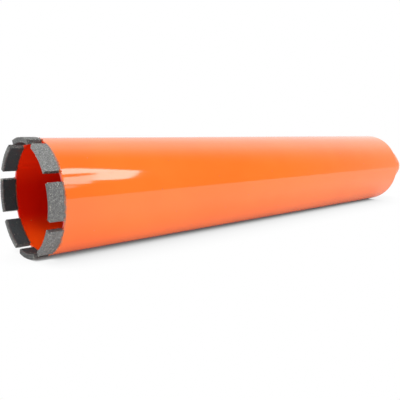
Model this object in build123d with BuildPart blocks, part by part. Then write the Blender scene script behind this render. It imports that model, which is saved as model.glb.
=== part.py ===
from build123d import *
from math import degrees, radians, tan
import os

# Wet diamond core bit with an 80 mm barrel and 450 mm of working length.
# It stands on its cutting end: the segment tips lie on Z = 0, the barrel's axis
# is +Z, and the threaded hub is on top. All sizes are in millimetres.

# Barrel
barrel_diameter = 80.0
barrel_wall = 2.2
working_length = 450.0       # from the segment tips to the barrel's back end
barrel_back_chamfer = 1.0

# Diamond segments
segment_count = 8
segment_length = 24.0        # along the rim, at mid thickness
segment_thickness = 3.5
segment_height = 10.0
segment_overhang = 0.6       # how far a segment stands proud of the barrel's outside
tip_bevel = 0.5
end_bevel = 0.4

# Braze under each segment
braze_film = 0.2
braze_leg = 0.9              # how far the braze creeps along the barrel's wall

# Back plate
plate_thickness = 8.0
plate_recess = 3.0           # below the barrel's back end
plate_chamfer = 0.8

# Hub, with a female 1-1/4"-7 UNC thread bored to its minor diameter
thread_minor_diameter = 28.0
mouth_diameter = 32.6
mouth_angle = 90.0
spigot_diameter = 36.0
spigot_chamfer = 1.0
collar_diameter = 50.0
collar_height = 4.0
hub_body_diameter = 43.0     # the hexagon's corners keep this turned diameter
hex_across_flats = 41.0
hex_bevel_angle = 30.0
hex_face_margin = 0.4        # the bevel starts this far inside the flats
hub_projection = 47.0        # beyond the barrel's back end

# Welds
plate_weld_leg = 2.6
hub_weld_leg = 2.4
weld_crown = 0.3             # how far the bead bulges past a straight fillet

# Radii, angles and heights that follow from these
barrel_radius = barrel_diameter / 2
bore_radius = barrel_radius - barrel_wall
segment_outer_radius = barrel_radius + segment_overhang
segment_inner_radius = segment_outer_radius - segment_thickness
segment_mid_radius = (segment_outer_radius + segment_inner_radius) / 2
segment_angle = degrees(segment_length / segment_mid_radius)
segment_pitch = 360 / segment_count
rim_height = segment_height + braze_film
plate_top = working_length - plate_recess
plate_bottom = plate_top - plate_thickness
collar_radius = collar_diameter / 2
collar_top = plate_top + collar_height
hub_top = working_length + hub_projection

os.makedirs("parts", exist_ok=True)


def save(part, name):
    part.label = name
    export_step(part, f"parts/{name}.step")


# Barrel: a plain drawn tube, square at the rim that carries the segments and
# chamfered outside at the back end.
with BuildPart() as barrel:
    with BuildSketch(Plane.XY.offset(rim_height)):
        Circle(barrel_radius)
        Circle(bore_radius, mode=Mode.SUBTRACT)
    extrude(amount=working_length - rim_height)
    back_edges = barrel.edges().group_by(Axis.Z)[-1]
    chamfer(back_edges.sort_by(SortBy.RADIUS)[-1], barrel_back_chamfer)

save(barrel.part, "barrel")


# Segments: curved blocks of sintered metal and diamond grit, each thicker than the
# barrel's wall so that the cut clears the barrel inside and out. The gaps between
# them are the water slots. The press leaves small bevels at the tip and the ends.
for index in range(segment_count):
    start_angle = index * segment_pitch - segment_angle / 2
    with BuildPart() as segment:
        with BuildSketch(Plane.XZ.rotated((0, 0, start_angle))):
            with Locations((segment_mid_radius, 0)):
                Rectangle(segment_thickness, segment_height, align=(Align.CENTER, Align.MIN))
        revolve(axis=Axis.Z, revolution_arc=segment_angle)
        chamfer(segment.edges().filter_by(Axis.Z), end_bevel)
        chamfer(segment.edges().group_by(Axis.Z)[0], tip_bevel)
    save(segment.part, f"segment_{index + 1}")


# Braze seams: a thin film between each segment's foot and the barrel's rim. It
# creeps along the barrel's wall in a small fillet under both overhangs.
for index in range(segment_count):
    start_angle = index * segment_pitch - segment_angle / 2
    leg_end = rim_height + braze_leg
    with BuildPart() as braze_seam:
        with BuildSketch(Plane.XZ.rotated((0, 0, start_angle))):
            with BuildLine():
                Polyline(
                    (segment_inner_radius, segment_height),
                    (segment_outer_radius, segment_height),
                    (segment_outer_radius, rim_height),
                    (barrel_radius, leg_end),
                    (barrel_radius, rim_height),
                    (bore_radius, rim_height),
                    (bore_radius, leg_end),
                    (segment_inner_radius, rim_height),
                    close=True,
                )
            make_face()
        revolve(axis=Axis.Z, revolution_arc=segment_angle)
    save(braze_seam.part, f"braze_seam_{index + 1}")


# Back plate: a turned disc let into the barrel's back end and bored for the hub.
with BuildPart() as back_plate:
    with BuildSketch(Plane.XY.offset(plate_bottom)):
        Circle(bore_radius)
        Circle(spigot_diameter / 2, mode=Mode.SUBTRACT)
    extrude(amount=plate_thickness)
    inner_edges = back_plate.edges().group_by(Axis.Z)[0]
    chamfer(inner_edges.sort_by(SortBy.RADIUS)[-1], plate_chamfer)

save(back_plate.part, "back_plate")


# Hub: turned with a spigot through the back plate and a collar that sits on it,
# then milled to a hexagon for the spanner. The corners of the hexagon keep the
# turned diameter and its bevel. The hole goes right through, to let the water in.
with BuildPart() as hub:
    with BuildSketch(Plane.XZ):
        body_radius = hub_body_diameter / 2
        face_radius = hex_across_flats / 2 - hex_face_margin
        bevel_depth = (body_radius - face_radius) * tan(radians(hex_bevel_angle))
        with BuildLine():
            Polyline(
                (0, plate_bottom),
                (spigot_diameter / 2 - spigot_chamfer, plate_bottom),
                (spigot_diameter / 2, plate_bottom + spigot_chamfer),
                (spigot_diameter / 2, plate_top),
                (collar_radius, plate_top),
                (collar_radius, collar_top),
                (body_radius, collar_top),
                (body_radius, hub_top - bevel_depth),
                (face_radius, hub_top),
                (0, hub_top),
                close=True,
            )
        make_face()
    revolve(axis=Axis.Z)
    with BuildSketch(Plane.XY.offset(collar_top)):
        Circle(collar_diameter)
        RegularPolygon(hex_across_flats / 2, 6, major_radius=False, mode=Mode.SUBTRACT)
    extrude(amount=hub_top - collar_top, mode=Mode.SUBTRACT)
    with Locations((0, 0, hub_top)):
        CounterSinkHole(
            thread_minor_diameter / 2,
            mouth_diameter / 2,
            counter_sink_angle=mouth_angle,
        )

save(hub.part, "hub")


# Ring welds: slightly crowned fillet beads in the two corners on the back plate's
# outer face, one against the barrel's wall and one against the hub's collar.
with BuildPart() as plate_weld:
    with BuildSketch(Plane.XZ):
        crown = plate_weld_leg / 2 + weld_crown
        with BuildLine():
            Polyline(
                (bore_radius, plate_top),
                (bore_radius, plate_top + plate_weld_leg),
                (bore_radius - crown, plate_top + crown),
                (bore_radius - plate_weld_leg, plate_top),
                close=True,
            )
        make_face()
    revolve(axis=Axis.Z)

save(plate_weld.part, "plate_weld")

with BuildPart() as hub_weld:
    with BuildSketch(Plane.XZ):
        crown = hub_weld_leg / 2 + weld_crown
        with BuildLine():
            Polyline(
                (collar_radius, plate_top),
                (collar_radius, plate_top + hub_weld_leg),
                (collar_radius + crown, plate_top + crown),
                (collar_radius + hub_weld_leg, plate_top),
                close=True,
            )
        make_face()
    revolve(axis=Axis.Z)

save(hub_weld.part, "hub_weld")
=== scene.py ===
import random
from math import atan2, cos, hypot, pi, radians, sin, sqrt, tan

import bpy
import numpy as np
from mathutils import Matrix, Vector, noise


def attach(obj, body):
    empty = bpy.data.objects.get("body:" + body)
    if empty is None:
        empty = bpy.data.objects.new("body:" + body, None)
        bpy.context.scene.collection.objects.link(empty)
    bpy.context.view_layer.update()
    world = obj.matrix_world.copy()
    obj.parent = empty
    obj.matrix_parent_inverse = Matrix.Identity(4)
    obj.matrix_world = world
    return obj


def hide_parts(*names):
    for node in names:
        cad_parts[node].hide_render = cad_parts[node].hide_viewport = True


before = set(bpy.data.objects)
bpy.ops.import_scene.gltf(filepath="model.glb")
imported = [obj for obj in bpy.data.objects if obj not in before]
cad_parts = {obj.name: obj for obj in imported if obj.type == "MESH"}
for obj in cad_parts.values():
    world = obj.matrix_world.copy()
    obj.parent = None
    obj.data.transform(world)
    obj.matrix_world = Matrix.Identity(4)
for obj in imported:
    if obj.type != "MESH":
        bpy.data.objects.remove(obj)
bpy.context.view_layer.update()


# Camera
# The bit stands on its cutting end in this frame, with its axis on +Z, and it is shot
# lying on its side: "under" points from the axis to the white table, and "facing"
# points from the axis to the camera's side.
roll = radians(2.03)
under = Vector((-sin(roll), cos(roll), 0))
facing = Vector((cos(roll), sin(roll), 0))
along = Vector((0, 0, 1))

turn = 0.832                 # radians between the bit's axis and the line of sight
tilt = 0.1373                # radians that the camera looks down on the table
camera_beside = 0.30986
camera_above = 0.04232
camera_before_tips = 0.12360

aim = (along * cos(turn) - facing * sin(turn)) * cos(tilt) + under * sin(tilt)
right = along * sin(turn) + facing * cos(turn)
up = right.cross(aim)
lens = bpy.data.cameras.new("camera")
lens.sensor_width = 36.0
lens.lens = 42.85
lens.clip_start = 0.01
lens.clip_end = 50.0
camera = bpy.data.objects.new("camera", lens)
camera.matrix_world = Matrix((right, up, -aim)).transposed().to_4x4()
camera.location = facing * camera_beside - under * camera_above - along * camera_before_tips
bpy.context.scene.collection.objects.link(camera)
bpy.context.scene.camera = camera
bpy.context.scene.view_settings.view_transform = "Standard"


# Barrel
# A seam-welded steel tube, cut square and finished in gloss orange enamel inside and
# out. The rim that carries the segments is lightly rounded by blasting, the back end
# is chamfered, and the tube mill's flattened weld runs down the inside.
mm = 0.001
barrel_radius = 40.0
bore_radius = 37.8
rim_height = 10.2
back_end = 450.0
back_chamfer = 1.0
plate_bottom = 439.0         # the back plate closes the bore here
edge_round = 0.45
hoop_spacing = 9.0           # between the rows of points along the tube
out_of_round = 0.012
ripple = 0.008
seam_angle = radians(214)
seam_proud = 0.35
seam_half_width = 1.3
red_over_rim = 1.7           # how far the bore's red coat runs out over the rim


def around(count):
    """That many angles, evenly spaced round the axis."""
    return np.linspace(0, 2 * pi, count, endpoint=False)


def ring(radius, height, angles):
    """One row of points round the axis; radius and height may vary with the angle."""
    radius = np.broadcast_to(radius, angles.shape)
    height = np.broadcast_to(height, angles.shape)
    return np.stack([radius * np.cos(angles), radius * np.sin(angles), height], axis=1)


def piece(name, points, faces, crease):
    """A mesh in millimetres, shaded smooth except where it turns by more than crease."""
    mesh = bpy.data.meshes.new(name)
    mesh.from_pydata((np.asarray(points) * mm).tolist(), [], faces)
    mesh.validate()
    mesh.shade_smooth()
    mesh.set_sharp_from_angle(angle=radians(crease))
    made = bpy.data.objects.new(name, mesh)
    bpy.context.scene.collection.objects.link(made)
    return made


def turned(name, rows, crease):
    """A closed turned part: the rows of points go round the section and meet again."""
    count = len(rows[0])
    total = len(rows) * count
    faces = []
    for row in range(len(rows)):
        for step in range(count):
            here = row * count + step
            beside = row * count + (step + 1) % count
            faces.append((here, beside, (beside + count) % total, (here + count) % total))
    return piece(name, np.concatenate(rows), faces, crease)


def rounded(corners, radius, steps=4):
    """A closed section with each corner rounded; corners are (radius, height) pairs."""
    outline = []
    for index, corner in enumerate(corners):
        here = Vector(corner)
        before = (Vector(corners[index - 1]) - here).normalized()
        after = (Vector(corners[(index + 1) % len(corners)]) - here).normalized()
        for step in range(steps + 1):
            share = step / steps
            bend = here + before * radius * (1 - share) ** 2 + after * radius * share ** 2
            outline.append((bend.x, bend.y))
    return outline


def divided(outline, spacing, margin=0.35):
    """The same closed section with its long runs divided, and held straight near their ends."""
    points = []
    for index, (start_radius, start_height) in enumerate(outline):
        end_radius, end_height = outline[(index + 1) % len(outline)]
        length = hypot(end_radius - start_radius, end_height - start_height)
        shares = list(np.linspace(0, 1, max(1, round(length / spacing)), endpoint=False))
        if length > 4 * margin:
            shares[1:1] = [margin / length]
            shares.append(1 - margin / length)
        for share in shares:
            points.append((
                start_radius + (end_radius - start_radius) * share,
                start_height + (end_height - start_height) * share,
            ))
    return points


barrel_section = rounded([
    (barrel_radius, rim_height),
    (barrel_radius, back_end - back_chamfer),
    (barrel_radius - back_chamfer, back_end),
    (bore_radius, back_end),
    (bore_radius, rim_height),
], edge_round)
barrel_angles = around(320)
barrel_rows = []
for radius, height in divided(barrel_section, hoop_spacing):
    drawn = out_of_round * np.sin(3 * barrel_angles + height / 90)
    drawn += ripple * np.sin(7 * barrel_angles - height / 41)
    if radius < bore_radius + 0.2:
        offset = (barrel_angles - seam_angle + pi) % (2 * pi) - pi
        drawn -= seam_proud * np.exp(-((offset * bore_radius / seam_half_width) ** 2))
    barrel_rows.append(ring(radius + np.minimum(drawn, 0), height, barrel_angles))
barrel = turned("barrel_tube", barrel_rows, 50)


def bare_material(name):
    """A new material, with its node tree, its shader and a texture position in metres."""
    material = bpy.data.materials.new(name)
    material.use_nodes = True
    tree = material.node_tree
    shader = tree.nodes["Principled BSDF"]
    place = tree.nodes.new("ShaderNodeTexCoord").outputs["Object"]
    return material, tree, shader, place


def mottle(tree, place, size, detail=2.0, roughness=0.5):
    """Soft noise whose blotches are about that many millimetres across."""
    made = tree.nodes.new("ShaderNodeTexNoise")
    made.inputs["Scale"].default_value = 1 / (size * mm)
    made.inputs["Detail"].default_value = detail
    made.inputs["Roughness"].default_value = roughness
    tree.links.new(place, made.inputs["Vector"])
    return made.outputs["Fac"]


def spread(tree, value, low, high, to_low, to_high, smooth=False):
    """Stretches a value from one range to another and holds it at the ends."""
    made = tree.nodes.new("ShaderNodeMapRange")
    made.interpolation_type = "SMOOTHSTEP" if smooth else "LINEAR"
    made.inputs["From Min"].default_value = low
    made.inputs["From Max"].default_value = high
    made.inputs["To Min"].default_value = to_low
    made.inputs["To Max"].default_value = to_high
    tree.links.new(value, made.inputs["Value"])
    return made.outputs["Result"]


def blend_colour(tree, share, first, second):
    """Goes from the first colour to the second by share; each is a colour or a socket."""
    made = tree.nodes.new("ShaderNodeMix")
    made.data_type = "RGBA"
    tree.links.new(share, made.inputs["Factor"])
    for colour, socket in ((first, made.inputs["A"]), (second, made.inputs["B"])):
        if isinstance(colour, tuple):
            socket.default_value = (*colour, 1)
        else:
            tree.links.new(colour, socket)
    return made.outputs["Result"]


def combine(tree, operation, first, second):
    """Maths on two values; the second may be a number."""
    made = tree.nodes.new("ShaderNodeMath")
    made.operation = operation
    tree.links.new(first, made.inputs[0])
    if isinstance(second, float):
        made.inputs[1].default_value = second
    else:
        tree.links.new(second, made.inputs[1])
    return made.outputs["Value"]


def relief(tree, shader, layers):
    """Stacks bumps on the shader; each layer is a height from 0 to 1 and its millimetres."""
    normal = None
    for height, depth in layers:
        made = tree.nodes.new("ShaderNodeBump")
        made.inputs["Distance"].default_value = depth * mm
        tree.links.new(height, made.inputs["Height"])
        if normal:
            tree.links.new(normal, made.inputs["Normal"])
        normal = made.outputs["Normal"]
    tree.links.new(normal, shader.inputs["Normal"])


def distance_along(tree, place, way):
    """How many millimetres a spot lies from the origin in that direction."""
    made = tree.nodes.new("ShaderNodeVectorMath")
    made.operation = "DOT_PRODUCT"
    made.inputs[1].default_value = way / mm
    tree.links.new(place, made.inputs[0])
    return made.outputs["Value"]


orange = (0.970, 0.197, 0.0255)
orange_thick = (0.955, 0.183, 0.0215)
# painted shade: the deeper orange that the enamel takes near the rim
orange_painted_shade_by_rim = (0.955, 0.160, 0.020)
scorched = (0.40, 0.17, 0.09)
primer = (0.30, 0.16, 0.10)
dust_brown = (0.35, 0.09, 0.03)

# The enamel's marks, in millimetres: how wide, and how deep
drift_size = 60
haze_size = 25
dust_spacing = 9
nick_size = 1.1
nick_depth = 0.02
sag_size = 90
peel_size = 14
peel_depth = 0.012
grain_size = 1.6
grain_depth = 0.0010


def enamel(name, thin=orange, thick=orange_thick, peel=1.0, wear=0.0):
    """Gloss enamel: faint drifts of colour, orange peel, dust specks and nicks."""
    material, tree, shader, place = bare_material(name)
    drift = spread(tree, mottle(tree, place, drift_size), 0.35, 0.65, 0, 1, True)
    colour = blend_colour(tree, drift, thin, thick)
    nicks = spread(tree, mottle(tree, place, nick_size, 3.0), 0.76 - wear, 0.79 - wear, 0, 1)
    colour = blend_colour(tree, nicks, colour, primer)
    dust = tree.nodes.new("ShaderNodeTexVoronoi")
    dust.inputs["Scale"].default_value = 1 / (dust_spacing * mm)
    tree.links.new(place, dust.inputs["Vector"])
    specks = spread(tree, dust.outputs["Distance"], 0.040, 0.062, 1, 0)
    colour = blend_colour(tree, specks, colour, dust_brown)
    tree.links.new(colour, shader.inputs["Base Color"])
    haze = spread(tree, mottle(tree, place, haze_size, 4.0), 0.3, 0.7, 0.05, 0.09)
    dull = combine(tree, "MULTIPLY", combine(tree, "MAXIMUM", nicks, specks), 0.6)
    tree.links.new(combine(tree, "MAXIMUM", haze, dull), shader.inputs["Roughness"])
    shader.inputs["IOR"].default_value = 1.6
    relief(tree, shader, [
        (mottle(tree, place, peel_size, 1.0), peel_depth * peel),
        (mottle(tree, place, grain_size, 1.0), grain_depth * peel),
        (combine(tree, "SUBTRACT", mottle(tree, place, sag_size, 0.0), nicks), nick_depth),
    ])
    return material


def opened(material):
    """An enamel's node tree, its shader and its texture position, to add to its finish."""
    tree = material.node_tree
    return tree, tree.nodes["Principled BSDF"], tree.nodes["Texture Coordinate"].outputs["Object"]


def barrel_coat():
    """The outer enamel, a deeper orange near the rim as painted shade, and browned beside it by the heat of
    brazing.
    """
    material = enamel("barrel_enamel")
    tree, shader, place = opened(material)
    coat = shader.inputs["Base Color"].links[0].from_socket
    height = distance_along(tree, place, along)
    # Painted shade: near the rim the enamel turns a deeper orange, fading out over about six centimetres.
    coat = blend_colour(tree, spread(tree, height, 14, 62, 0.85, 0.0, True), coat, orange_painted_shade_by_rim)
    reach = combine(tree, "MULTIPLY", mottle(tree, place, 7, 2.0), -6.0)
    reach = combine(tree, "ADD", reach, height)
    scorch = spread(tree, reach, rim_height - 3.2, rim_height - 1.2, 0.55, 0.0, True)
    tree.links.new(blend_colour(tree, scorch, coat, scorched), shader.inputs["Base Color"])
    return material


bore_red = (0.66, 0.0085, 0.0012)
bore_red_thick = (0.60, 0.006, 0.0009)
# painted light along the top of the bore and along its floor
bore_painted_light_top = (0.95, 0.027, 0.0033)
bore_painted_light_floor = (0.96, 0.082, 0.005)


def bore_coat():
    """The deep red coat inside, with painted light making it lighter along the top of the bore and lighter
    and more orange along its floor.
    """
    material = enamel("bore_enamel", bore_red, bore_red_thick, peel=2.0)
    tree, shader, place = opened(material)
    coat = shader.inputs["Base Color"].links[0].from_socket
    height = distance_along(tree, place, under)
    # Painted light: lighter towards the top of the bore, lighter and more orange towards its floor.
    coat = blend_colour(tree, spread(tree, height, -1, -26, 0, 1, True), coat, bore_painted_light_top)
    coat = blend_colour(tree, spread(tree, height, 15, 36, 0, 1, True), coat, bore_painted_light_floor)
    tree.links.new(coat, shader.inputs["Base Color"])
    return material


def finish_with(made, slot, node, *materials):
    """Paints a piece, rides it on the one body and lets it stand for its CAD node."""
    for material in materials:
        made.data.materials.append(material)
    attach(made, "root")
    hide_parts(node)


def mark_faces(made, marks):
    """Tells each face of a piece which of the piece's materials covers it."""
    made.data.polygons.foreach_set("material_index", np.array(marks, dtype=np.int32))


def shows_bore_coat(centre):
    """Whether the red coat covers a face of the tube, in the bore or on the rim."""
    over = red_over_rim if centre.z < rim_height + 0.4 else 0.3
    return centre.z < plate_bottom and hypot(centre.x, centre.y) < bore_radius + over


finish_with(barrel, "orange_paint", "barrel", barrel_coat(), bore_coat())
mark_faces(barrel, [shows_bore_coat(face.center / mm) for face in barrel.data.polygons])


# Diamond segments
# Eight curved blocks of sintered metal powder and diamond grit, pressed in a mould
# with soft corners. They are thicker than the tube's wall, so they stand proud of it
# inside and out, and the crystals on the faces stand out of the grey metal.
segment_count = 8
segment_thickness = 3.5
segment_height = 10.0
segment_outer = 40.6
segment_inner = segment_outer - segment_thickness
segment_middle = segment_outer - segment_thickness / 2
segment_length = 24.0
segment_pitch = 2 * pi / segment_count
mould_corner = 0.34
skin_spacing = 0.42          # between the points of the pitted skin
skin_sunk = 0.04             # the skin lies this far inside the mould's size
skin_swell = 0.03            # and rises above that by this much at most
pit_from = 0.28              # a pit starts where the noise passes this
pit_depth = 0.45
end_margin = 0.35            # a face this close to an end belongs to the end
crystal_tries = 620
crystal_least = 0.10
crystal_most = 0.23
foot_margin = 0.5            # no crystal stands this close to the foot
hidden_inside = 0.93         # the share of crystals that the inner face keeps covered
hidden_corners = 0.88        # and the share along the round corners


def grid_lines(half, corner, spacing):
    """Grid lines across a face: close together over the corners, even between them."""
    soft = [half - corner * share for share in (1.0, 0.72, 0.46, 0.22)]
    inner = np.linspace(-soft[0], soft[0], max(2, round(2 * soft[0] / spacing) + 1))
    return np.array([-half] + [-line for line in soft[:0:-1]] + list(inner) + soft[1:] + [half])


def soft_block(half, corner, spacing):
    """A block's points, with round corners, the way each point faces, and the block's faces."""
    lines = [grid_lines(size, corner, spacing) for size in half]
    found, points, faces = {}, [], []
    for axis in range(3):
        one, two = [other for other in range(3) if other != axis]
        for side in (-1, 1):
            index = np.zeros((len(lines[one]), len(lines[two])), int)
            for i, a in enumerate(lines[one]):
                for j, b in enumerate(lines[two]):
                    point = [0.0, 0.0, 0.0]
                    point[axis] = side * half[axis]
                    point[one], point[two] = a, b
                    key = tuple(round(value, 5) for value in point)
                    if key not in found:
                        found[key] = len(points)
                        points.append(point)
                    index[i, j] = found[key]
            flip = (side > 0) == (axis != 1)
            for i in range(len(lines[one]) - 1):
                for j in range(len(lines[two]) - 1):
                    quad = [index[i, j], index[i + 1, j], index[i + 1, j + 1], index[i, j + 1]]
                    faces.append(quad if flip else quad[::-1])
    points = np.array(points)
    limit = np.array(half) - corner
    core = np.clip(points, -limit, limit)
    out = points - core
    out /= np.linalg.norm(out, axis=1)[:, None]
    return core + out * corner, out, faces


def crystal():
    """One diamond crystal: a cube's corners with a low pyramid on each of its sides."""
    cube = [(a, b, c) for a in (-1, 1) for b in (-1, 1) for c in (-1, 1)]
    tips = [(1.5, 0, 0), (-1.5, 0, 0), (0, 1.5, 0), (0, -1.5, 0), (0, 0, 1.5), (0, 0, -1.5)]
    faces = []
    for tip_index, tip in enumerate(tips):
        axis = tip_index // 2
        side = [i for i, corner in enumerate(cube) if corner[axis] * tip[axis] > 0]
        side.sort(key=lambda i: atan2(cube[i][(axis + 2) % 3], cube[i][(axis + 1) % 3]))
        if tip[axis] < 0:
            side.reverse()
        for step in range(4):
            faces.append((side[step], side[(step + 1) % 4], len(cube) + tip_index))
    return np.array(cube + tips, float), faces


crystal_points, crystal_faces = crystal()


def segment_block(number, chance):
    """One segment: the pressed block with its pitted skin, and the grit standing out of it."""
    half = (segment_length / 2, segment_thickness / 2, segment_height / 2)
    points, out, faces = soft_block(half, mould_corner, skin_spacing)
    for index, (point, way) in enumerate(zip(points, out)):
        place = Vector(point) + Vector((71.0 * number, 0, 0))
        rough = 0.05 * noise.noise(place * 0.45) + 0.075 * noise.noise(place * 1.1)
        pit = max(0.0, noise.noise(place * 1.15 + Vector((0, 40, 0))) - pit_from) * pit_depth
        points[index] = point + way * (min(rough, skin_swell) - skin_sunk - pit)
    end_face = half[0] - end_margin
    marks = [2 if min(abs(points[corner][0]) for corner in face) > end_face else 0 for face in faces]
    stack_points = [points]
    stack_faces = list(faces)
    count = len(points)
    for _ in range(crystal_tries):
        pick = chance.randrange(len(points))
        where, way = points[pick], out[pick]
        if where[2] > half[2] - foot_margin or (way[1] < -0.5 and chance.random() < hidden_inside):
            continue
        if max(abs(way)) < 0.97 and chance.random() < hidden_corners:
            continue
        where = where + np.array([chance.uniform(-0.3, 0.3) * (1 - abs(w)) for w in way])
        size = chance.uniform(crystal_least, crystal_most)
        spin = Matrix.Rotation(chance.uniform(0, 2 * pi), 3, Vector([chance.gauss(0, 1) for _ in range(3)]))
        grain = crystal_points @ np.array(spin).T * size
        stack_points.append(grain + where - way * (0.07 + size * chance.uniform(0.45, 1.0)))
        stack_faces += [tuple(count + corner for corner in face) for face in crystal_faces]
        marks += [1] * len(crystal_faces)
        count += len(crystal_points)
    made_points = np.concatenate(stack_points)
    made_points[:, 2] = np.maximum(made_points[:, 2] + segment_height / 2, 0.0)
    return made_points, stack_faces, marks


def curved(points, centre_angle):
    """Wraps points (along the rim, outwards, height) on to the segment's arc."""
    arc = centre_angle - points[:, 0] / segment_middle
    radius = segment_middle + points[:, 1]
    return np.stack([radius * np.cos(arc), radius * np.sin(arc), points[:, 2]], axis=1)


def radius_at(tree, place):
    """How many millimetres a spot lies from the bit's axis."""
    flat = tree.nodes.new("ShaderNodeVectorMath")
    flat.operation = "MULTIPLY"
    flat.inputs[1].default_value = (1 / mm, 1 / mm, 0)
    tree.links.new(place, flat.inputs[0])
    made = tree.nodes.new("ShaderNodeVectorMath")
    made.operation = "LENGTH"
    tree.links.new(flat.outputs["Vector"], made.inputs[0])
    return made.outputs["Value"]


def toned(colour, tone):
    """The same colour, brighter or darker."""
    return tuple(value * tone for value in colour)


matrix_pale = (0.44, 0.44, 0.43)
matrix_dark = (0.155, 0.16, 0.16)
matrix_pit = (0.070, 0.073, 0.073)
# the dressed tip's grey, also used as painted shade where lamps light the tips
dressed_and_shaded_tip = (0.075, 0.078, 0.078)
# painted shade for the segments' inner faces, in two greys
inner_shade_black = (0.026, 0.036, 0.039)
inner_shade_grey = (0.041, 0.055, 0.057)
overspray = (0.75, 0.17, 0.035)


def matrix_metal(name, tone, inner_shade_tone, tip_share):
    """Sintered cobalt-bronze matrix: mottled grey, with painted shade on its inner faces and a darkened tip.
    """
    material, tree, shader, place = bare_material(name)
    height = distance_along(tree, place, along)
    fine = mottle(tree, place, 0.6, 3.0, 0.7)
    lumps = mottle(tree, place, 1.4, 1.0)
    bright = spread(tree, fine, 0.36, 0.64, 0, 1)
    grey = blend_colour(tree, bright, toned(matrix_pit, tone), toned(matrix_pale, tone))
    grey = blend_colour(tree, spread(tree, lumps, 0.38, 0.62, 0.7, 0), grey, toned(matrix_dark, tone))
    # The tip is darkened by each segment's share: partly dressing, partly painted shade on the better-lit
    # tips.
    grey = blend_colour(tree, spread(tree, height, 0.05, 0.20, tip_share, 0.0), grey, dressed_and_shaded_tip)

    # Painted shade: the inner faces are dark, less so towards the tip; where the shade lies the metal is
    # also duller.
    inner_shade = spread(tree, radius_at(tree, place), segment_inner + 0.25, segment_inner + 0.8, 1.0, 0.0, True)
    from_tip = combine(tree, "ADD", height, mottle(tree, place, 2.5, 2.0))
    inner_shade = combine(tree, "MULTIPLY", inner_shade, spread(tree, from_tip, 1.0, 2.0, 0.25, 1.0, True))
    shade_mottle = mottle(tree, place, 7, 2.0)
    inner_shade_colour = blend_colour(tree, shade_mottle, toned(inner_shade_black, inner_shade_tone), toned(inner_shade_grey, inner_shade_tone))
    grey = blend_colour(tree, inner_shade, grey, inner_shade_colour)

    creep = combine(tree, "MULTIPLY", mottle(tree, place, 1.8, 3.0), 1.6)
    creep = spread(tree, combine(tree, "ADD", height, creep), 10.45, 10.75, 0, 1)
    creep = combine(tree, "MULTIPLY", creep, spread(tree, inner_shade, 0, 1, 1, 0))
    tree.links.new(blend_colour(tree, creep, grey, overspray), shader.inputs["Base Color"])

    tree.links.new(spread(tree, inner_shade, 0, 1, 0.35, 0), shader.inputs["Metallic"])
    tree.links.new(spread(tree, inner_shade, 0, 1, 0.5, 0.2), shader.inputs["Specular IOR Level"])
    tree.links.new(spread(tree, fine, 0.3, 0.7, 0.68, 0.44), shader.inputs["Roughness"])
    relief(tree, shader, [(lumps, 0.18), (fine, 0.10), (mottle(tree, place, 0.22, 2.0), 0.03)])
    return material


grit_dark = (0.20, 0.205, 0.17)
grit_pale = (0.54, 0.55, 0.48)


def crystal_grit():
    """Synthetic diamond: pale, hard and glassy, each crystal a little different."""
    material, tree, shader, place = bare_material("diamond_grit")
    tint = spread(tree, mottle(tree, place, 0.8, 1.0), 0.35, 0.65, 0, 1)
    tree.links.new(blend_colour(tree, tint, grit_dark, grit_pale), shader.inputs["Base Color"])
    tree.links.new(spread(tree, tint, 0, 1, 0.10, 0.35), shader.inputs["Roughness"])
    shader.inputs["IOR"].default_value = 2.1
    relief(tree, shader, [(mottle(tree, place, 0.15, 1.0), 0.01)])
    return material


# Each segment's tones: its faces; its ends, painted shade darkest where an end faces down; its inner faces'
# painted shade; and how far its tip is darkened, partly dressing and partly painted shade
segment_tones = (
    (0.79, 0.52, 1.00, 0.45),
    (0.86, 0.66, 1.00, 0.20),
    (0.92, 0.52, 1.35, 0.95),
    (0.95, 0.60, 1.45, 0.60),
    (1.00, 0.55, 0.92, 0.85),
    (0.95, 0.52, 1.45, 0.60),
    (0.64, 0.70, 1.30, 0.30),
    (1.08, 0.20, 1.00, 0.00),
)
grit_material = crystal_grit()
for number, (face_tone, end_shade_tone, inner_shade_tone, tip_share) in enumerate(segment_tones, 1):
    block_points, block_faces, block_marks = segment_block(number, random.Random(500 + number))
    block_points = curved(block_points, (number - 1) * segment_pitch)
    segment = piece(f"segment_block_{number}", block_points, block_faces, 35)
    faces_metal = matrix_metal(f"matrix_{number}", face_tone, inner_shade_tone, tip_share)
    # The ends take a darker tone as painted shade.
    ends_metal = matrix_metal(f"shaded_ends_{number}", end_shade_tone, inner_shade_tone, tip_share)
    finish_with(segment, "diamond_matrix", f"segment_{number}", faces_metal, grit_material, ends_metal)
    mark_faces(segment, block_marks)


# Braze seams
# Silver braze run under each segment in a film, with a small uneven fillet along the
# tube's wall where it crept out. The enamel sprayed over it hides most of the silver.
braze_leg = 0.9
film_lap = 0.12              # how far the film overlaps the segment's foot
film_inset = 0.10            # how far its edges lie inside the segment's faces
bead_steps = 120
round_from = 0.965           # the share of a seam's half length at which its end rounds off
arc_half = segment_length / 2 / segment_middle
silver_dark = (0.22, 0.18, 0.16)
silver_pale = (0.48, 0.41, 0.36)
sprayed_silver = (0.46, 0.16, 0.07)
drip_orange = (0.66, 0.105, 0.010)
drip_orange_thick = (0.52, 0.078, 0.008)
drips = {7: 1.0, 8: 1.25}    # the seams with a drip of enamel at one end, and its size


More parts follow.
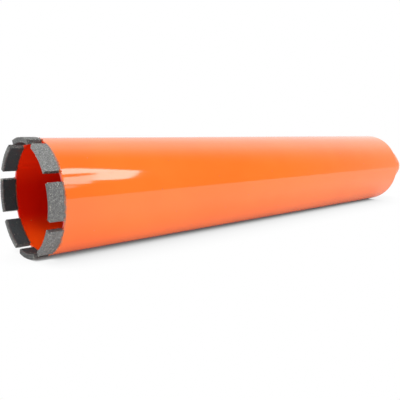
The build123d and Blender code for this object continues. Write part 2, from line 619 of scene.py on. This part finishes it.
def braze_metal():
    """Silver braze under a patchy overspray of orange."""
    material, tree, shader, place = bare_material("silver_braze")
    silver = blend_colour(tree, mottle(tree, place, 1.5, 3.0), silver_dark, silver_pale)
    spray = spread(tree, mottle(tree, place, 2.4, 3.0), 0.44, 0.60, 0.30, 1)
    tree.links.new(blend_colour(tree, spray, silver, sprayed_silver), shader.inputs["Base Color"])
    tree.links.new(spread(tree, spray, 0.35, 1, 0.7, 0.0), shader.inputs["Metallic"])
    dull = spread(tree, mottle(tree, place, 0.8, 2.0), 0.3, 0.7, 0.22, 0.42)
    tree.links.new(dull, shader.inputs["Roughness"])
    relief(tree, shader, [(mottle(tree, place, 0.9, 3.0), 0.05)])
    return material


def fillet(start, wall, leg):
    """The hollow curve by which braze climbs from a segment's overhang to the tube's wall."""
    curve = []
    for step in range(1, 6):
        bow = step / 5
        radius = start + (wall - start) * (1 - (1 - bow) ** 1.7)
        curve.append((radius, rim_height + leg * (0.12 + 0.88 * bow ** 1.5)))
    return curve


def braze_bead(number):
    """One seam: the film and its two fillets, uneven along the arc, with round ends."""
    shift = Vector((0, 0, 13.0 * number))
    foot = segment_height - film_lap
    inner = segment_inner + film_inset
    points, faces = [], []
    for step in range(bead_steps + 1):
        share = 1 - 2 * step / bead_steps
        swell = sqrt(max(0.0, 1 - max(0.0, (abs(share) - round_from) / (1 - round_from)) ** 2))
        full = braze_leg * (0.25 + 0.75 * swell)
        leg = full * (0.72 + 0.5 * noise.noise(Vector((share * 9, 0, 0)) + shift))
        inner_leg = full * (0.70 + 0.5 * noise.noise(Vector((share * 8, 5, 0)) + shift))
        outer = segment_outer - film_inset - 0.15 * (1 - swell)
        section = [(inner + 0.2, foot), (outer - 0.2, foot)]
        section += [(outer, foot + 0.1), (outer - 0.06, rim_height + leg * 0.12)]
        section += fillet(outer - 0.06, barrel_radius, leg)
        section += [(barrel_radius - 0.05, rim_height + leg), (barrel_radius - 0.3, rim_height + 0.02)]
        section += [(bore_radius + 0.3, rim_height + 0.02), (bore_radius + 0.05, rim_height + inner_leg)]
        section += fillet(inner + 0.04, bore_radius, inner_leg)[::-1]
        section.append((inner, foot + 0.1))
        angle = (number - 1) * segment_pitch + share * arc_half
        points += [(radius * cos(angle), radius * sin(angle), height) for radius, height in section]
    wide = len(section)
    for row in range(bead_steps):
        for step in range(wide):
            near = row * wide + step
            far = row * wide + (step + 1) % wide
            faces.append((near, far, far + wide, near + wide))
    faces.append(tuple(range(wide))[::-1])
    faces.append(tuple(range(bead_steps * wide, (bead_steps + 1) * wide)))
    return points, faces


def add_drop(points, faces, angle, height, size, rings=7, spokes=12):
    """Adds a flattened drop of braze or enamel at that angle and height on the seam."""
    first = len(points)
    centre = barrel_radius + 0.25 + 0.2 * size
    for row in range(1, rings + 1):
        level = pi * row / (rings + 1)
        for step in range(spokes):
            spin = 2 * pi * step / spokes
            lump = noise.noise(Vector((cos(spin) * 0.8, sin(spin) * 0.8, angle * 9 + row * 0.3)))
            bulk = size * (1 + 0.5 * lump)
            out = centre + bulk * 0.40 * sin(level) * cos(spin)
            across = angle + bulk * sin(level) * sin(spin) / out
            points.append((out * cos(across), out * sin(across), height + bulk * 0.7 * cos(level)))
    top = len(points)
    points.append((centre * cos(angle), centre * sin(angle), height + size * 0.7))
    points.append((centre * cos(angle), centre * sin(angle), height - size * 0.7))
    last = first + (rings - 1) * spokes
    for step in range(spokes):
        after = (step + 1) % spokes
        for near in range(first, last, spokes):
            faces.append((near + step, near + spokes + step, near + spokes + after, near + after))
        faces.append((first + step, first + after, top))
        faces.append((last + after, last + step, top + 1))


braze_material = braze_metal()
drip_enamel = enamel("drip_enamel", drip_orange, drip_orange_thick, peel=3.0)
chance = random.Random(77)
for number in range(1, segment_count + 1):
    bead_points, bead_faces = braze_bead(number)
    centre = (number - 1) * segment_pitch
    if number in drips:
        braze_faces = len(bead_faces)
        add_drop(bead_points, bead_faces, centre + arc_half, rim_height - 0.1, drips[number])
    else:
        blob = chance.uniform(0.4, 0.8)
        add_drop(bead_points, bead_faces, centre + arc_half, rim_height - 0.5 * blob, blob)
        braze_faces = len(bead_faces)
    for lean in (chance.uniform(-0.9, 0.9), chance.uniform(-0.9, 0.9)):
        drop = chance.uniform(0.4, 0.7)
        add_drop(bead_points, bead_faces, centre + lean * arc_half, rim_height + 0.5, drop)
    bead = piece(f"braze_bead_{number}", bead_points, bead_faces, 50)
    finish_with(bead, "silver_braze", f"braze_seam_{number}", braze_material, drip_enamel)
    mark_faces(bead, [0] * braze_faces + [1] * (len(bead_faces) - braze_faces))


# Back plate
# A turned steel disc let into the tube's back end and bored for the hub. The lathe
# leaves fine rings on both faces, still seen through the enamel.
wave_at_scale_one = 0.314    # how far apart the texture's rings lie at a scale of 1


def turned_enamel(name, pitch):
    """The same enamel over the rings that a turning tool leaves, that many millimetres apart."""
    material = enamel(name, peel=1.3, wear=0.04)
    tree, shader, place = opened(material)
    rings = tree.nodes.new("ShaderNodeTexWave")
    rings.wave_type = "RINGS"
    rings.rings_direction = "Z"
    rings.inputs["Scale"].default_value = wave_at_scale_one / (pitch * mm)
    rings.inputs["Distortion"].default_value = 0.4
    tree.links.new(place, rings.inputs["Vector"])
    made = tree.nodes.new("ShaderNodeBump")
    made.inputs["Distance"].default_value = 0.02 * mm
    tree.links.new(rings.outputs["Fac"], made.inputs["Height"])
    tree.links.new(shader.inputs["Normal"].links[0].from_socket, made.inputs["Normal"])
    tree.links.new(made.outputs["Normal"], shader.inputs["Normal"])
    return material


back_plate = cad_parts["back_plate"]
back_plate.data.materials.clear()
back_plate.data.materials.append(turned_enamel("plate_enamel", 0.5))


# Ring welds
# Two hand-run fillet beads on the back plate's outer face, one in the corner against
# the tube and one against the hub's collar. Each pool overlaps the one before it.
plate_top = 447.0
collar_radius = 25.0
tube_weld_leg = 2.6
hub_weld_leg = 2.4
toe_share = 0.92             # how much of its leg the bead reaches at both toes


def weld_bead(name, wall_radius, side, leg, pools, seed, steps=12):
    """A rippled fillet bead; side is -1 where it lies inside its wall and 1 outside."""
    chance = random.Random(seed)
    sizes = [chance.uniform(0.86, 1.0) for _ in range(pools)]
    angles = around(pools * 8)
    rows = []
    for step in range(steps + 1):
        lean = step / steps * pi / 2
        crown = 1.18 * (0.74 + 0.10 * sin(2 * lean))
        reach = []
        for angle in angles:
            along_bead = angle / (2 * pi) * pools + 0.35 * sin(2 * lean)
            pool = sizes[int(along_bead) % pools] * (0.80 + 0.20 * sqrt(along_bead % 1))
            reach.append(leg * pool * crown if 0 < step < steps else leg * toe_share)
        reach = np.array(reach)
        rows.append(ring(wall_radius + side * reach * cos(lean), plate_top + reach * sin(lean), angles))
    rows.append(ring(wall_radius - side * 0.15, plate_top + leg * 0.85, angles))
    rows.append(ring(wall_radius - side * 0.15, plate_top - 0.15, angles))
    rows.append(ring(wall_radius + side * leg * 0.85, plate_top - 0.15, angles))
    if side < 0:
        rows.reverse()
    return turned(name, rows, 60)


weld_enamel = enamel("weld_enamel", peel=2.0, wear=0.02)
tube_bead = weld_bead("tube_weld_bead", bore_radius, -1, tube_weld_leg, pools=74, seed=41)
finish_with(tube_bead, "orange_paint", "plate_weld", weld_enamel)
collar_bead = weld_bead("collar_weld_bead", collar_radius, 1, hub_weld_leg, pools=52, seed=42)
finish_with(collar_bead, "orange_paint", "hub_weld", weld_enamel)


# Hub
# Turned from bar with a spigot through the back plate and a collar that sits on it,
# then milled to a hexagon for the spanner and tapped 1-1/4 inch, 7 threads to the
# inch, right through for the water. Enamelled outside; the thread is oiled steel.
hub_top = 497.0
spigot_radius = 18.0
collar_top = 451.0
flat_half = 20.5
turned_corner = 21.5         # the hexagon's corners keep this turned radius
face_edge = flat_half - 0.4
bevel_angle = radians(30)
mouth_radius = 16.3
thread_pitch = 25.4 / 7
thread_minor = 14.0
thread_major = 15.875
crest_share = 0.125          # of the pitch, flat at each crest and each root
thread_rows = 230
steel_clean = (0.42, 0.40, 0.38)
steel_greasy = (0.16, 0.13, 0.10)

hub_angles = around(240)
hexagon = np.minimum(flat_half / np.cos((hub_angles % (pi / 3)) - pi / 6), turned_corner)


def bevel_height(radius):
    """How high the bevel at the hexagon's end lies at that radius."""
    return hub_top - (radius - face_edge) * tan(bevel_angle)


hub_rows = []
for height in np.linspace(hub_top - 0.6, plate_bottom + 0.6, thread_rows):
    phase = ((height - plate_bottom) / thread_pitch - hub_angles / (2 * pi)) % 1.0
    flank = np.clip((np.abs(phase - 0.5) * 2 - crest_share) / (1 - 2 * crest_share), 0, 1)
    groove = thread_minor + (thread_major - thread_minor) * flank
    mouth = mouth_radius - (hub_top - height)
    foot_mouth = thread_minor + 1.2 - (height - plate_bottom)
    hub_rows.append(ring(np.maximum(groove, max(mouth, foot_mouth)), height, hub_angles))

hub_outside = [
    (thread_minor + 1.3, plate_bottom),
    (spigot_radius - 1.0, plate_bottom),
    (spigot_radius - 0.65, plate_bottom + 0.12),
    (spigot_radius - 0.15, plate_bottom + 0.7),
    (spigot_radius, plate_bottom + 1.0),
    (spigot_radius, plate_top),
    (collar_radius - 0.3, plate_top),
    (collar_radius, plate_top + 0.3),
    (collar_radius, collar_top - 0.6),
    (collar_radius - 0.18, collar_top - 0.18),
    (collar_radius - 0.6, collar_top),
    (hexagon + 0.25, collar_top),
    (hexagon, collar_top + 0.3),
]
hub_outside += [(hexagon, height) for height in np.linspace(collar_top + 4, hub_top - 5, 8)]
hub_outside += [
    (hexagon, bevel_height(hexagon) - 0.25),
    (hexagon - 0.12, bevel_height(hexagon) + 0.02),
    (face_edge + 0.25, bevel_height(face_edge + 0.25)),
    (face_edge - 0.25, hub_top),
    (19.0, hub_top),
    (17.8, hub_top),
    (mouth_radius + 0.35, hub_top),
    (mouth_radius, hub_top - 0.2),
]
hub_rows += [ring(radius, height, hub_angles) for radius, height in hub_outside]
hub_body = turned("hub_body", hub_rows, 28)


def oiled_steel():
    """Cut thread: bright steel dulled by oil, with dark smears of grease."""
    material, tree, shader, place = bare_material("oiled_steel")
    smear = spread(tree, mottle(tree, place, 6, 3.0), 0.35, 0.7, 0, 1)
    tree.links.new(blend_colour(tree, smear, steel_clean, steel_greasy), shader.inputs["Base Color"])
    shader.inputs["Metallic"].default_value = 1.0
    tree.links.new(spread(tree, smear, 0, 1, 0.28, 0.5), shader.inputs["Roughness"])
    relief(tree, shader, [(mottle(tree, place, 0.5, 3.0), 0.02)])
    return material


finish_with(hub_body, "orange_paint", "hub", turned_enamel("hub_enamel", 0.35), oiled_steel())
thread_faces = (thread_rows - 1) * len(hub_angles)
mark_faces(hub_body, [index < thread_faces for index in range(len(hub_body.data.polygons))])


# Studio
# A big white table under the bit, even white light from all round, a soft lamp over
# the camera's shoulder, and the dark half of the room behind the camera, which keeps
# the enamel's colour deep between the white reflections.
table_reach = 4.0


def stage_sheet(name, corners):
    """One flat sheet of the set, facing the side from which its corners run anticlockwise."""
    mesh = bpy.data.meshes.new(name)
    mesh.from_pydata([tuple(corner) for corner in corners], [], [tuple(range(len(corners)))])
    made = bpy.data.objects.new(name, mesh)
    bpy.context.scene.collection.objects.link(made)
    return made


def choose(tree, share, first, second):
    """Shows the first shader where share is 0 and the second where it is 1."""
    made = tree.nodes.new("ShaderNodeMixShader")
    tree.links.new(share, made.inputs["Fac"])
    tree.links.new(first, made.inputs[1])
    tree.links.new(second, made.inputs[2])
    return made.outputs[0]


# The sheet touches the segments in front and the tube's back end behind.
table_front = under * 0.0406 + along * 0.005
table_run = (under * 0.0400 + along * 0.449 - table_front).normalized() * table_reach
table_side = facing * table_reach
table = stage_sheet("white_table", [
    table_front + table_run - table_side,
    table_front - table_run - table_side,
    table_front - table_run + table_side,
    table_front + table_run + table_side,
])
table_material = bpy.data.materials.new("white_table")
table_material.use_nodes = True
table.data.materials.append(table_material)
table_tree = table_material.node_tree
table_tree.nodes.remove(table_tree.nodes["Principled BSDF"])
shelter = table_tree.nodes.new("ShaderNodeAmbientOcclusion")
shelter.inputs["Distance"].default_value = 1.0
shelter.samples = 24


def table_shade(greys):
    """Painted shadow: the table glows by how much of the open room each spot of it sees."""
    ramp = table_tree.nodes.new("ShaderNodeValToRGB")
    ramp.color_ramp.elements[0].color = (0.07, 0.03, 0.026, 1)
    for open_room, grey in greys:
        ramp.color_ramp.elements.new(open_room).color = (grey, grey, grey, 1)
    table_tree.links.new(shelter.outputs["AO"], ramp.inputs["Fac"])
    shine = table_tree.nodes.new("ShaderNodeEmission")
    table_tree.links.new(ramp.outputs["Color"], shine.inputs["Color"])
    return shine.outputs[0]


# The bit's contact shadow on the table is painted by these glows, darkest with a reddish tint, once as seen
# and once as the enamel reflects it.
mirrored_table = table_shade(((0.24, 0.33), (0.46, 0.55), (0.60, 0.70), (0.73, 0.90), (0.85, 1.0)))
seen_table = table_shade((
    (0.030, 0.115), (0.062, 0.20), (0.092, 0.34), (0.137, 0.60),
    (0.20, 0.78), (0.31, 0.87), (0.46, 0.94), (0.68, 1.0),
))
white = table_tree.nodes.new("ShaderNodeBsdfDiffuse")
white.inputs["Color"].default_value = (0.86, 0.86, 0.86, 1)
lift = table_tree.nodes.new("ShaderNodeEmission")
lift.inputs["Strength"].default_value = 0.27
lit = table_tree.nodes.new("ShaderNodeAddShader")
table_tree.links.new(white.outputs[0], lit.inputs[0])
table_tree.links.new(lift.outputs[0], lit.inputs[1])
rays = table_tree.nodes.new("ShaderNodeLightPath")
table_face = choose(table_tree, rays.outputs["Is Glossy Ray"], lit.outputs[0], mirrored_table)
table_face = choose(table_tree, rays.outputs["Is Camera Ray"], table_face, seen_table)
behind = table_tree.nodes.new("ShaderNodeNewGeometry")
clear = table_tree.nodes.new("ShaderNodeBsdfTransparent")
table_face = choose(table_tree, behind.outputs["Backfacing"], table_face, clear.outputs[0])
table_tree.links.new(table_face, table_tree.nodes["Material Output"].inputs["Surface"])

# The room: even to the eye and for lighting, but bright on one side only in the gloss.
room = bpy.data.worlds.new("room")
room.use_nodes = True
bpy.context.scene.world = room
room_tree = room.node_tree
room_tree.nodes.clear()
bright_way = (along * 0.492 - facing * 0.823 + under * 0.284).normalized()
even_light = 0.93
backdrop = 1.0


def room_light(strength):
    """White light from all round; the strength is a number or a socket."""
    made = room_tree.nodes.new("ShaderNodeBackground")
    made.inputs["Color"].default_value = (1, 1, 1, 1)
    if isinstance(strength, float):
        made.inputs["Strength"].default_value = strength
    else:
        room_tree.links.new(strength, made.inputs["Strength"])
    return made.outputs[0]


sky = room_tree.nodes.new("ShaderNodeTexCoord").outputs["Generated"]
toward = room_tree.nodes.new("ShaderNodeVectorMath")
toward.operation = "DOT_PRODUCT"
toward.inputs[1].default_value = bright_way
room_tree.links.new(sky, toward.inputs[0])
bright_half = spread(room_tree, toward.outputs["Value"], -0.20, 0.35, 0.04, 1.17, True)
far_end = spread(room_tree, toward.outputs["Value"], 0.62, 0.86, 1.0, 0.78, True)
bright_half = combine(room_tree, "MULTIPLY", bright_half, far_end)
rays = room_tree.nodes.new("ShaderNodeLightPath")
room_seen = choose(room_tree, rays.outputs["Is Glossy Ray"], room_light(even_light), room_light(bright_half))
room_seen = choose(room_tree, rays.outputs["Is Camera Ray"], room_seen, room_light(backdrop))
room_output = room_tree.nodes.new("ShaderNodeOutputWorld")
room_tree.links.new(room_seen, room_output.inputs["Surface"])

# The lamp's diffuser is three panels, the upper one brightest; only gloss shows them.
lamp_centre = Vector((0.88347, -0.68761, 0.71102))
lamp_across = Vector((-0.60955, -0.02161, 0.79245))
lamp_up = Vector((-0.40817, -0.84839, -0.33709))


def light_panel(name, strength, outline):
    """One panel of the diffuser; its outline runs across and up from the lamp's centre."""
    sheet = stage_sheet(name, [lamp_centre + lamp_across * a + lamp_up * b for a, b in outline])
    material = bpy.data.materials.new(name)
    material.use_nodes = True
    nodes = material.node_tree.nodes
    nodes.clear()
    glow = nodes.new("ShaderNodeEmission")
    glow.inputs["Strength"].default_value = strength
    surface = nodes.new("ShaderNodeOutputMaterial")
    material.node_tree.links.new(glow.outputs[0], surface.inputs["Surface"])
    sheet.data.materials.append(material)
    sheet.visible_camera = False
    sheet.visible_diffuse = False
    sheet.visible_shadow = False


light_panel("upper_panel", 7.2, [
    (-0.010, 0.435), (0.054, 0.395), (0.070, 0.384), (0.077, 0.334), (0.092, 0.257), (0.105, 0.162),
    (0.121, 0.080), (0.120, 0.042), (0.101, -0.007), (0.062, -0.070), (0.022, -0.146), (-0.009, -0.195),
    (-0.045, -0.219), (-0.089, -0.176), (-0.120, -0.140), (-0.052, 0.014), (-0.008, 0.098),
    (-0.006, 0.147), (-0.048, 0.169), (-0.140, 0.220),
])
light_panel("lower_panel", 4.9, [
    (-0.019, 0.076), (-0.042, 0.072), (-0.063, 0.064), (-0.099, 0.061), (-0.127, 0.082), (-0.180, 0.110),
    (-0.280, -0.170), (-0.230, -0.204), (-0.207, -0.227), (-0.182, -0.254), (-0.159, -0.246),
    (-0.124, -0.151), (-0.055, 0.010),
])
light_panel("edge_panel", 2.2, [
    (-0.245, -0.239), (-0.221, -0.262), (-0.225, -0.300), (-0.240, -0.345), (-0.277, -0.370),
    (-0.310, -0.340), (-0.290, -0.220),
])


def hang_lamp(light, place, target):
    """Hangs a lamp at its place, turned to its target; gloss doesn't show it."""
    made = bpy.data.objects.new(light.name, light)
    made.location = place
    made.rotation_euler = (target - place).to_track_quat("-Z", "Y").to_euler()
    made.visible_glossy = False
    bpy.context.scene.collection.objects.link(made)


over_lamp = bpy.data.lights.new("over_lamp", "AREA")
over_lamp.shape = "SQUARE"
over_lamp.size = 1.4
over_lamp.energy = 8.5
bit_middle = along * 0.22
hang_lamp(over_lamp, bit_middle - under * 1.4 + facing * 0.7, bit_middle)

# A narrow spot reaches into the mouth and lights the lower wall of the bore.
mouth_spot = bpy.data.lights.new("mouth_spot", "SPOT")
mouth_spot.energy = 6.6
mouth_spot.spot_size = radians(10)
mouth_spot.spot_blend = 1.0
mouth_spot.shadow_soft_size = 0.05
lit_wall = along * 0.032 + under * 0.038 - facing * 0.014
hang_lamp(mouth_spot, under * -0.55 + facing * 0.05 - along * 0.20, lit_wall)
